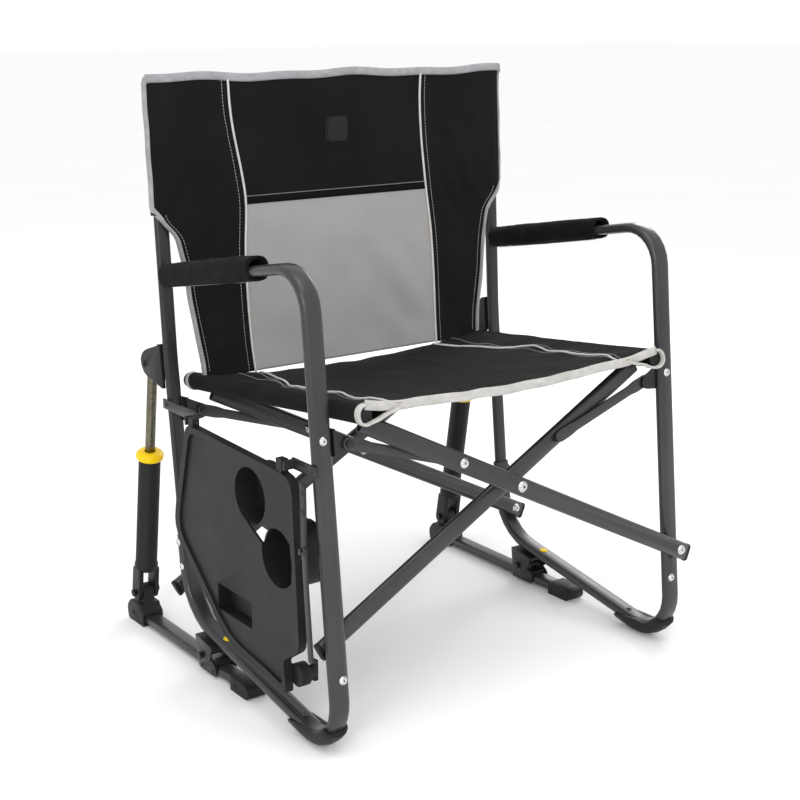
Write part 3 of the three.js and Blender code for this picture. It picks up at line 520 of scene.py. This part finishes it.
def back_depth(x, h):
    """Depth of the back panel, with its hollow and its wrinkles."""
    edge = back_edge(h)
    across = max(0.0, 1 - (x / edge) ** 2)
    tall = math.sin(math.pi * min(1, max(0, (h - BACK_LOW) / (BACK_TOP - BACK_LOW)))) ** 0.8
    slack = BACK_SLACK * across * tall
    # slanting pleats in the right half of the mesh
    drawn = (x - 0.02) * 0.8 + (h - 0.60) * 0.62
    pleats = math.sin(drawn * 88) * smooth(x, -0.02, 0.13) * (1 - smooth(x, 0.14, 0.175))
    pleats *= smooth(h, BACK_LOW, 0.50) * (1 - smooth(h, 0.60, 0.69))
    # loose folds in the side panels, and puckers by the sleeves' lower corners
    side = smooth(abs(x), 0.185, 0.21) * (1 - smooth(abs(x), edge - 0.03, edge))
    side *= 1 - smooth(h, BACK_TOP - 0.05, BACK_TOP - 0.01)
    folds = ripple(x * 2.2, h, 0, 11, 3) * FOLD + ripple(x * 3, h * 2, 0, 22, 9) * 0.0018
    near_corner = math.exp(-((h - SLEEVE_LOW) / 0.07) ** 2)
    pull = math.sin((h * 0.8 + abs(x) * 1.5) * 95) * PUCKER * side * near_corner
    upper = ripple(x, h * 1.6, 0, 9, 21) * PLEAT * smooth(h, HEM_H, HEM_H + 0.05)
    return post_s(h) - STAND_OFF + slack + pleats * PLEAT + folds * side + upper * across + pull


def back_point(x, h, lift=0.0):
    """A point of the back panel, lifted forward off it."""
    return leaned(MID_X + x, back_depth(x, h) - lift, h)


def seam_x(side, h):
    """The piping runs in a slow wave down the back, and the whole panel is sewn a little askew."""
    askew = (0.023 if side < 0 else -0.010) * smooth(h, HEM_H - 0.02, BACK_TOP - 0.03)
    return SEAM_X - 0.004 * smooth(h, 0.62, 0.72) + 0.003 * math.sin((h - BACK_LOW) * 14) + askew


def sleeve_ring(side, h, t):
    """A point of the sleeve round a post: t runs from the front panel round to the rear flap."""
    closing = smooth(h, POST_TOP + 0.001, BACK_TOP)
    depth = (POST_THICK / 2 + 0.0048) * (1 - closing) - (STAND_OFF - 0.002) * closing
    if t < SLEEVE_SIDE:
        angle = math.pi * t / SLEEVE_SIDE
        x = SLEEVE_X + math.sin(angle) * (SLEEVE_OUT - SLEEVE_X)
        s = -math.cos(angle) * (depth + STAND_OFF) / 2 + (depth - STAND_OFF) / 2
    else:
        part = (t - SLEEVE_SIDE) / (1 - SLEEVE_SIDE)
        x = SLEEVE_X - (SLEEVE_X - SIDE + POST_WIDE / 2 + SLEEVE_FLAP) * part
        s = depth * (1 - 0.5 * part)
    free = smooth(t, 0.02, 0.2) * (1 - closing)
    crease = ripple(x, h * 3, t, 16, 5 + side) * 0.0012 * free
    return leaned(MID_X + side * x, post_s(h) + s + crease, h)


def build_back():
    """The back cloth: one panel, pale mesh in its lower middle, with a sleeve round each post."""
    surface = Surface()
    tall = sorted(set(np.round(np.linspace(BACK_LOW, BACK_TOP, 118), 4)) | {HEM_H, SLEEVE_LOW})
    wide, flanks = 26, 22
    rows = []
    for h in tall:
        left, right, edge = seam_x(-1, h), seam_x(1, h), back_edge(h)
        inner = [-left + (left + right) * n / (2 * wide) for n in range(2 * wide + 1)]
        flank = [n / flanks for n in range(1, flanks + 1)]
        row = [-left - (edge - left) * n for n in reversed(flank)] + inner
        row += [right + (edge - right) * n for n in flank]
        rows.append([(back_point(x, h), (x, h)) for x in row])

    def finish(i, j):
        if flanks <= j < flanks + 2 * wide:
            return 1 if tall[i] < HEM_H - 1e-6 else 0
        return 0

    surface.grid(rows, finish)
    for side in (-1, 1):
        sleeve = []
        for h in [a for a in tall if a >= SLEEVE_LOW]:
            ring = [n / 22 for n in range(23)]
            sleeve.append([(sleeve_ring(side, h, t), (side * (SLEEVE_X + t * 0.09), h)) for t in ring])
        surface.grid(sleeve)
    back = surface.build("back_fabric", [BLACK, PALE])
    solid = back.modifiers.new("cloth", "SOLIDIFY")
    solid.thickness, solid.offset = CLOTH, 0
    return back


def build_back_binding():
    """Grosgrain tape folded over the top edge, the sleeves' outer seams and the waist's edges."""
    surface = Surface()
    top_reach = SLEEVE_OUT + 0.001
    top = []
    for x in np.linspace(-top_reach, top_reach, 91):
        wave = 0.0018 * math.sin(x * 21 + 1) + 0.0012 * math.sin(x * 47)
        s = back_depth(max(-SLEEVE_X, min(SLEEVE_X, x)), BACK_TOP)
        top.append(leaned(MID_X + x, s, BACK_TOP + wave))
    sweep(surface, top, oval(0.0054, 0.0125, 12), HEIGHT)
    for side in (-1, 1):
        edge = []
        for h in np.linspace(BACK_LOW - 0.004, BACK_TOP, 131):
            lift = smooth(h, SLEEVE_LOW - 0.008, SLEEVE_LOW + 0.012)
            x = back_edge(h) * (1 - lift) + (SLEEVE_OUT + 0.0006) * lift
            panel = back_depth(min(x, back_edge(h)), h) + 0.0006
            outer_side = post_s(h) - 0.0035 - 0.006 * smooth(h, POST_TOP, BACK_TOP)
            s = panel * (1 - lift) + outer_side * lift
            edge.append(leaned(MID_X + side * x, s + 0.0007 * math.sin(h * 90), h))
        sweep(surface, edge, oval(0.0128, 0.0044, 12), Vector((side, 0, 0)))
    return surface.build("back_binding", [BINDING])


def build_back_trim():
    """White piping down the two seams, and the rows of stitches."""
    piping, thread = Surface(), Surface()
    for side in (-1, 1):
        span = np.linspace(BACK_LOW - 0.002, BACK_TOP - 0.004, 120)
        line = [back_point(side * seam_x(side, h), h, 2 * STITCH_LIFT) for h in span]
        sweep(piping, line, oval(0.0034, 0.0034, 8), FORWARD)
        run = [back_point(side * (seam_x(side, h) + STITCH_OUT), h, STITCH_LIFT) for h in span]
        stitches(thread, run, FORWARD)
        span = np.linspace(BACK_LOW + 0.01, SLEEVE_LOW, 60)
        waist = [back_point(side * (back_edge(h) - 0.009), h, STITCH_LIFT) for h in span]
        stitches(thread, waist, FORWARD)
        span = np.linspace(SLEEVE_LOW + 0.006, BACK_TOP - 0.012, 60)
        flap = [sleeve_ring(side, h, 0.93) + DEPTH * STITCH_LIFT for h in span]
        stitches(thread, flap, DEPTH)
    span = np.linspace(-SEAM_X + 0.006, SEAM_X - 0.006, 60)
    hem = [back_point(x, HEM_H + 0.011, 0.0020) for x in span]
    stitches(thread, hem, FORWARD)
    return piping.build("back_piping", [PIPING]), thread.build("back_stitching", [THREAD])


def build_hem():
    """The doubled strip along the lower edge of the black upper panel."""
    surface = Surface()
    rows = []
    fold = ((0.0135, 0.0006), (0.0125, 0.0018), (-0.0005, 0.0019), (-0.0015, 0.0006))
    for h, lift in ((HEM_H + up, lift) for up, lift in fold):
        span = np.linspace(0.001 - seam_x(-1, h), seam_x(1, h) - 0.001, 61)
        rows.append([(back_point(x, h, lift), (x, h)) for x in span])
    surface.grid(rows)
    return surface.build("back_hem", [HEM])


def squircle(u, v):
    """Shrinks (u, v) of a square from -0.5 to 0.5 into one with round corners."""
    round_size = (abs(2 * u) ** 6 + abs(2 * v) ** 6) ** (1 / 6) / 2
    keep = max(abs(u), abs(v)) / max(1e-6, round_size)
    return u * keep, v * keep


def build_patch():
    """A plain rubber patch, high on the back."""
    surface = Surface()
    centre_h, tall, wide = POST_TOP - 0.078, 0.040, 0.042
    steps = [n / 8 - 0.5 for n in range(9)]
    for lift, inset in ((0.0022, 0.0), (0.0034, 0.003)):
        rows = []
        for v in steps:
            row = []
            for u in steps:
                across, up = squircle(u, v)
                x, h = across * (wide - 2 * inset), centre_h + up * (tall - 2 * inset)
                at_rim = max(abs(u), abs(v)) > 0.49 and inset == 0
                row.append((back_point(x, h, 0.0004 if at_rim else lift), (x, h)))
            rows.append(row)
        surface.grid(rows)
    return surface.build("back_patch", [PLASTIC])


# ---- seat cloth ------------------------------------------------------------------------------
SEAT_FRONT = RAIL_FRONT - 0.007
SEAT_REAR = POST_S - 0.012
SLEEVE_REAR = RAIL_REAR - 0.010
WRAP = RAIL_R + 0.0022    # radius of the cloth round a rail
LOOP = 0.6                # share of a sleeve's ring that goes round the rail
FLAP = 0.056              # the sleeves' lower layer is sewn to the panel this far in


def seat_height(x, s):
    """Height of the seat panel: taut between the rails, slack in the middle."""
    across = max(0.0, 1 - (x / RAIL_X) ** 2)
    run = (s - SEAT_FRONT) / (SEAT_REAR - SEAT_FRONT)
    dip = 0.017 + 0.006 * math.sin(math.pi * min(1, max(0, run)))
    ripples = ripple(x * 1.4, s, 0, 13, 14) * 0.0028 * across + ripple(x, s * 2.5, 0, 30, 8) * 0.0008
    side = smooth(abs(x), 0.17, 0.22)
    drag = math.sin(s * 70 + abs(x) * 40) * 0.0048 * side * across
    return RAIL_H + WRAP - dip * across ** 0.8 + ripples + drag


def seat_front(x):
    """The front edge is drawn back a little in the middle."""
    return SEAT_FRONT + 0.010 * max(0.0, 1 - (x / RAIL_X) ** 2)


def seat_rear(x):
    """The rear edge ends between the posts, and further back along the rails."""
    return SEAT_REAR + (SLEEVE_REAR - SEAT_REAR) * smooth(abs(x), 0.235, RAIL_X)


def seat_point(x, s, lift=0.0):
    """A point of the seat panel, lifted off it."""
    return leaned(MID_X + x, s, seat_height(x, s) + lift)


def loop_point(side, s, t):
    """A point of the sleeve round a rail: t runs from the top over the outside to the sewn flap below."""
    if t < LOOP:
        angle = math.pi / 2 - math.pi * (t / LOOP)
        x, h = RAIL_X + math.cos(angle) * WRAP, RAIL_H + math.sin(angle) * WRAP
    else:
        part = (t - LOOP) / (1 - LOOP)
        x = RAIL_X - FLAP * part
        low = RAIL_H - WRAP
        h = low + (seat_height(x, s) - 0.002 - low) * part ** 1.35
    bulge = ripple(x * 3, s * 1.2, h * 3, 18, 31 + side) * 0.0016
    return leaned(MID_X + side * (x + bulge), s, h + bulge)


def seam_seat_x(s):
    """The seat's piping: near the back's at the rear, out to the sides towards the front."""
    run = 1 - (s - SEAT_FRONT) / (SEAT_REAR - SEAT_FRONT)
    wave = 0.006 * math.sin(run * 17) * smooth(run, 0.05, 0.3)
    return 0.170 + 0.048 * smooth(run, 0.02, 0.45) + wave - 0.01 * smooth(run, 0.6, 1)


def build_seat():
    """The seat cloth: one panel with a sleeve round each rail."""
    surface = Surface()
    rows, lengths, turns = [], 96, 30
    columns = np.linspace(-RAIL_X, RAIL_X, 107)
    for i in range(lengths + 1):
        t = i / lengths
        row = []
        for x in columns:
            s = seat_front(x) + (seat_rear(x) - seat_front(x)) * t
            row.append((seat_point(x, s), (x, s)))
        rows.append(row)
    surface.grid(rows)
    for side in (-1, 1):
        sleeve = []
        for i in range(lengths + 1):
            s = SEAT_FRONT + (SLEEVE_REAR - SEAT_FRONT) * i / lengths
            ring = [n / turns for n in range(turns + 1)]
            sleeve.append([(loop_point(side, s, t), (side * (RAIL_X + 0.098 * t), s)) for t in ring])
        surface.grid(sleeve)
    seat = surface.build("seat_fabric", [BLACK])
    solid = seat.modifiers.new("cloth", "SOLIDIFY")
    solid.thickness, solid.offset = CLOTH, 0
    return seat


def build_seat_binding():
    """Pale tape along the front edge and round the ends of the sleeves."""
    surface = Surface()
    front = [seat_point(x, seat_front(x) - 0.0005) for x in np.linspace(-RAIL_X, RAIL_X, 91)]
    sweep(surface, front, oval(0.0046, 0.0135, 12), HEIGHT)
    tape = oval(0.0042, 0.0125, 12)
    for side in (-1, 1):
        loop = [loop_point(side, SEAT_FRONT - 0.0005, n / 36) for n in range(37)]
        sweep(surface, loop, tape, DEPTH)
        rear = [loop_point(side, SLEEVE_REAR, n / 30) for n in range(31)]
        sweep(surface, rear, oval(0.0036, 0.010, 12), DEPTH)
    return surface.build("seat_binding", [EDGING])


def build_seat_trim():
    """Piping, rows of stitches, and a bartack where each sleeve's flap meets the front edge."""
    piping, thread, tacks = Surface(), Surface(), Surface()
    for side in (-1, 1):
        span = np.linspace(SEAT_FRONT + 0.012, SEAT_REAR - 0.001, 110)
        line = [seat_point(side * seam_seat_x(s), s, 2 * STITCH_LIFT) for s in span]
        sweep(piping, line, oval(0.0032, 0.0032, 8), HEIGHT)
        run = [seat_point(side * (seam_seat_x(s) + STITCH_OUT), s, STITCH_LIFT) for s in span]
        stitches(thread, run, HEIGHT)
        at = RAIL_X - FLAP
        span = np.linspace(SEAT_FRONT + 0.01, SEAT_REAR, 80)
        flap = [seat_point(side * at, s, STITCH_LIFT) for s in span]
        stitches(thread, flap, HEIGHT)
        for n in range(5):
            start = seat_point(side * (at + 0.0016 * (n - 2)), seat_front(at) - 0.003, 0.0030)
            bar = [start, start + DEPTH * 0.005, start + DEPTH * 0.011]
            sweep(tacks, bar, oval(0.0011, 0.0011, 6), HEIGHT)
    return (
        piping.build("seat_piping", [PIPING]),
        thread.build("seat_stitching", [THREAD]),
        tacks.build("seat_bartacks", [BARTACK]),
    )


# ---- arm pads --------------------------------------------------------------------------------
PAD_SHAPE = 2.6           # superellipse power of a pad's section
PAD_SEAM = 4.35           # angle of the seam under a pad, radians
PAD_GROW = 0.0062         # the sleeve's inner face lies this far inside the outer one


def superellipse(angle, power):
    """A point of a superellipse of half width and height 1."""
    c, d = math.cos(angle), math.sin(angle)
    shape = (abs(c) ** power + abs(d) ** power) ** (-1 / power)
    return c * shape, d * shape


def build_pad(side):
    """A hollow foam sleeve, rounder and looser than the tube inside it."""
    name = "left" if side < 0 else "right"
    low, high = leaned_span(f"{name}_arm_pad")
    centre_x, half_wide = (low[0] + high[0]) / 2, (high[0] - low[0]) / 2
    front, rear = low[1], high[1]
    centre_h, half_tall = (0.5 - PAD_UNDER) * PAD_TALL, PAD_TALL / 2
    around, along = 48, 84

    def ring(s, grow, power=PAD_SHAPE):
        row = []
        for n in range(around):
            angle = 2 * math.pi * n / around
            c, d = math.cos(angle), math.sin(angle)
            wide, tall = superellipse(angle, power)
            dent = ripple(c, s * 9, d, 1.6, 40 + side) * 0.0011 + ripple(c, s * 30, d, 2.5, 12) * 0.0005
            seam = -0.0016 * math.exp(-((angle - PAD_SEAM) / 0.06) ** 2)
            push = (dent + seam) * (1 if grow > -0.003 else 0)
            x = centre_x + (half_wide + grow) * wide + c * push
            h = arm_h(s) + centre_h + (half_tall + grow) * tall + d * push
            row.append((leaned(x, s, h), (n * 0.0026, s)))
        return row

    rows = [ring(rear - 0.004, -PAD_GROW, 2.2)]
    rows += [ring(rear - 0.0005, -0.0048), ring(rear, -0.0028), ring(rear - 0.0012, -0.0006)]
    for i in range(along + 1):
        t = i / along
        ease = 0.0010 * math.sin(math.pi * t) - 0.0008
        rows.append(ring(rear - 0.004 + (front - rear + 0.008) * t, ease))
    rows += [ring(front + 0.0012, -0.0010), ring(front, -0.0030), ring(front + 0.0006, -0.0052)]
    rows += [ring(front + 0.004, -PAD_GROW, 2.2), ring(front + 0.030, -PAD_GROW, 2.2)]
    surface = Surface()
    surface.grid(rows, closed=True)
    pad = surface.build(f"{name}_pad_sleeve", [PAD])

    wide, tall = superellipse(PAD_SEAM, PAD_SHAPE)
    line = [
        leaned(centre_x + half_wide * wide + 0.004, s, arm_h(s) + centre_h + half_tall * tall - 0.0004)
        for s in np.linspace(front + 0.01, rear - 0.01, 40)
    ]
    thread = Surface()
    stitches(thread, line, -HEIGHT)
    seam = thread.build(f"{name}_pad_stitching", [THREAD])
    seam.parent = pad
    return pad


# ---- fasteners -------------------------------------------------------------------------------
def dome(surface, at, way, radius, tall):
    """A domed rivet head with a washer lip and a dimple, around a CAD head."""
    side = way.orthogonal().normalized()
    other = way.cross(side)
    lip = [(1.16, 0.0), (1.18, 0.12), (1.10, 0.22), (1.02, 0.30)]
    crown = [(0.98, 0.55), (0.84, 0.82), (0.62, 0.98), (0.40, 1.04)]
    dimple = [(0.30, 1.02), (0.24, 0.80), (0.0001, 0.72)]
    rows, sides = [], 20
    for r, up in lip + crown + dimple:
        ring = []
        for n in range(sides):
            a = 2 * math.pi * n / sides
            p = at + way * (up * tall) + (side * math.cos(a) + other * math.sin(a)) * r * radius
            ring.append((p, (a * radius, up * tall)))
        rows.append(ring)
    surface.grid(rows, closed=True)


# The heads' places are given from a point 0.048 in front of the posts' middle and 0.882 below
# their tops, in the leaned frame.
FRAME_S, FRAME_H = POST_S - 0.048, POST_TOP - 0.882
LEG_FACE = -0.3655                                   # front face of the legs
LEG_RIVETS = ((0.0, 0.4035), (-0.004, 0.076))        # (out from the leg's middle, height)
TUBE_HALF = 0.0146                                   # side tube's outer face, out from its middle
POST_RIVETS = ((0.048, 0.193), (0.044, 0.155))       # (depth, height)
TUBE_FACES = {"a": (-0.385, 0.012), "b": (-0.350, 0.060)}   # front faces of the scissor tubes
TUBE_DEEP = 0.012                                    # from a scissor tube's front face to its back
# Pivots of a scissor tube, as (toward its own seat rail, height):
SCISSOR_CENTRE, SCISSOR_LOW, LINK_FOOT = (0.0, 0.286), (-0.316, 0.124), (0.1023, 0.3385)
PIVOTS = ((SCISSOR_CENTRE, 0.0072), (SCISSOR_LOW, 0.0067), (LINK_FOOT, 0.0062))   # heads' radii


def spot(x, s, h):
    """A head's place, x from the chair's middle."""
    return leaned(MID_X + x, FRAME_S + s, FRAME_H + h)


def build_frame_rivets(side):
    """Rivets of a side frame: two down the front of its leg and two through the post's foot."""
    surface = Surface()
    for inset, h in LEG_RIVETS:
        dome(surface, spot(side * (SIDE + inset), LEG_FACE, h), FORWARD, 0.0054, 0.0030)
    for s, h in POST_RIVETS:
        dome(surface, spot(side * (SIDE + TUBE_HALF), s, h), Vector((side, 0, 0)), 0.0049, 0.0028)
    return surface.build(f"{'left' if side < 0 else 'right'}_frame_rivets", [RIVET])


def build_scissor_rivets(pair, rail_side):
    """Pivot heads of one pair of scissor tubes: centre bolt, lower pivot and link foot."""
    surface = Surface()
    for deep, way in ((0, FORWARD), (TUBE_DEEP, DEPTH)):
        for face in TUBE_FACES[pair]:
            for (x, h), radius in PIVOTS:
                dome(surface, spot(rail_side * x, face + deep, h), way, radius, 0.0040)
    return surface.build(f"scissor_{pair}_rivets", [RIVET])


# ---- put the pieces on their bodies ----------------------------------------------------------
back = build_back()
back_pieces = [build_back_binding(), *build_back_trim(), build_hem(), build_patch()]
seat = build_seat()
seat_pieces = [build_seat_binding(), *build_seat_trim()]
pads = {side: build_pad(side) for side in (-1, 1)}

for piece in [back, *back_pieces]:
    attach(piece, "left_frame")
    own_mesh(piece)
for piece in [seat, *seat_pieces]:
    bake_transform(piece)
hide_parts("left_back_cloth", "right_back_cloth")
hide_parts("left_seat_cloth", "right_seat_cloth")
for side, body in ((-1, "left_frame"), (1, "right_frame")):
    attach(pads[side], body)
    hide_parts("left_arm_pad" if side < 0 else "right_arm_pad")

for side, body in ((-1, "left_frame"), (1, "right_frame")):
    rivets = build_frame_rivets(side)
    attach(rivets, body)
for pair, rail_side in (("a", -1), ("b", 1)):
    rivets = build_scissor_rivets(pair, rail_side)
    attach(rivets, f"scissor_{pair}")

# ---- floor, light and camera -------------------------------------------------------------------
FLOOR_REACH = 30.0
corners = [(x * FLOOR_REACH, y * FLOOR_REACH, 0) for x, y in ((-1, -1), (1, -1), (1, 1), (-1, 1))]
floor_mesh = bpy.data.meshes.new("floor")
floor_mesh.from_pydata(corners, [], [(0, 1, 2, 3)])
floor_look = Shader("floor_paper", Specular_IOR_Level=0.15)
mottle = floor_look.ramp(floor_look.noise(1.5, 2), 0, 1)
floor_look.colour(mottle, (0.955, 0.955, 0.955, 1), (0.975, 0.975, 0.975, 1))
floor_look.roughness(floor_look.noise(2.0, 2), 0.75, 0.85)
floor = new_object("floor", floor_mesh, [floor_look.material])

world = bpy.data.worlds.new("studio")
world.use_nodes = True
backdrop = world.node_tree.nodes["Background"].inputs
backdrop["Color"].default_value = (1, 1, 1, 1)
backdrop["Strength"].default_value = 1.0
bpy.context.scene.world = world


def softbox(name, at, aim, size, power):
    """A square area light at a place, turned to face its aim."""
    light = bpy.data.lights.new(name, "AREA")
    light.shape, light.size, light.energy = "SQUARE", size, power
    lamp = bpy.data.objects.new(name, light)
    bpy.context.scene.collection.objects.link(lamp)
    lamp.location = at
    lamp.rotation_mode = "QUATERNION"
    lamp.rotation_quaternion = (Vector(aim) - Vector(at)).to_track_quat("-Z", "Y")


softbox("overhead", (-0.3, -0.8, 3.0), (0, 0, 0.4), 1.8, 22)
softbox("key_left", (-2.6, -2.2, 1.9), (0, 0, 0.45), 1.2, 30)
softbox("rim_right", (2.6, 1.4, 1.8), (0, 0, 0.5), 1.0, 22)

camera = bpy.data.cameras.new("camera")
camera.lens, camera.sensor_width = 66.24, 36.0
eye = bpy.data.objects.new("camera", camera)
bpy.context.scene.collection.objects.link(eye)
eye.location = (-1.3112, -1.7954, 0.984)
eye.rotation_euler = (math.radians(75.04), 0, math.radians(-36.21))
bpy.context.scene.camera = eye
bpy.context.scene.view_settings.view_transform = "Standard"
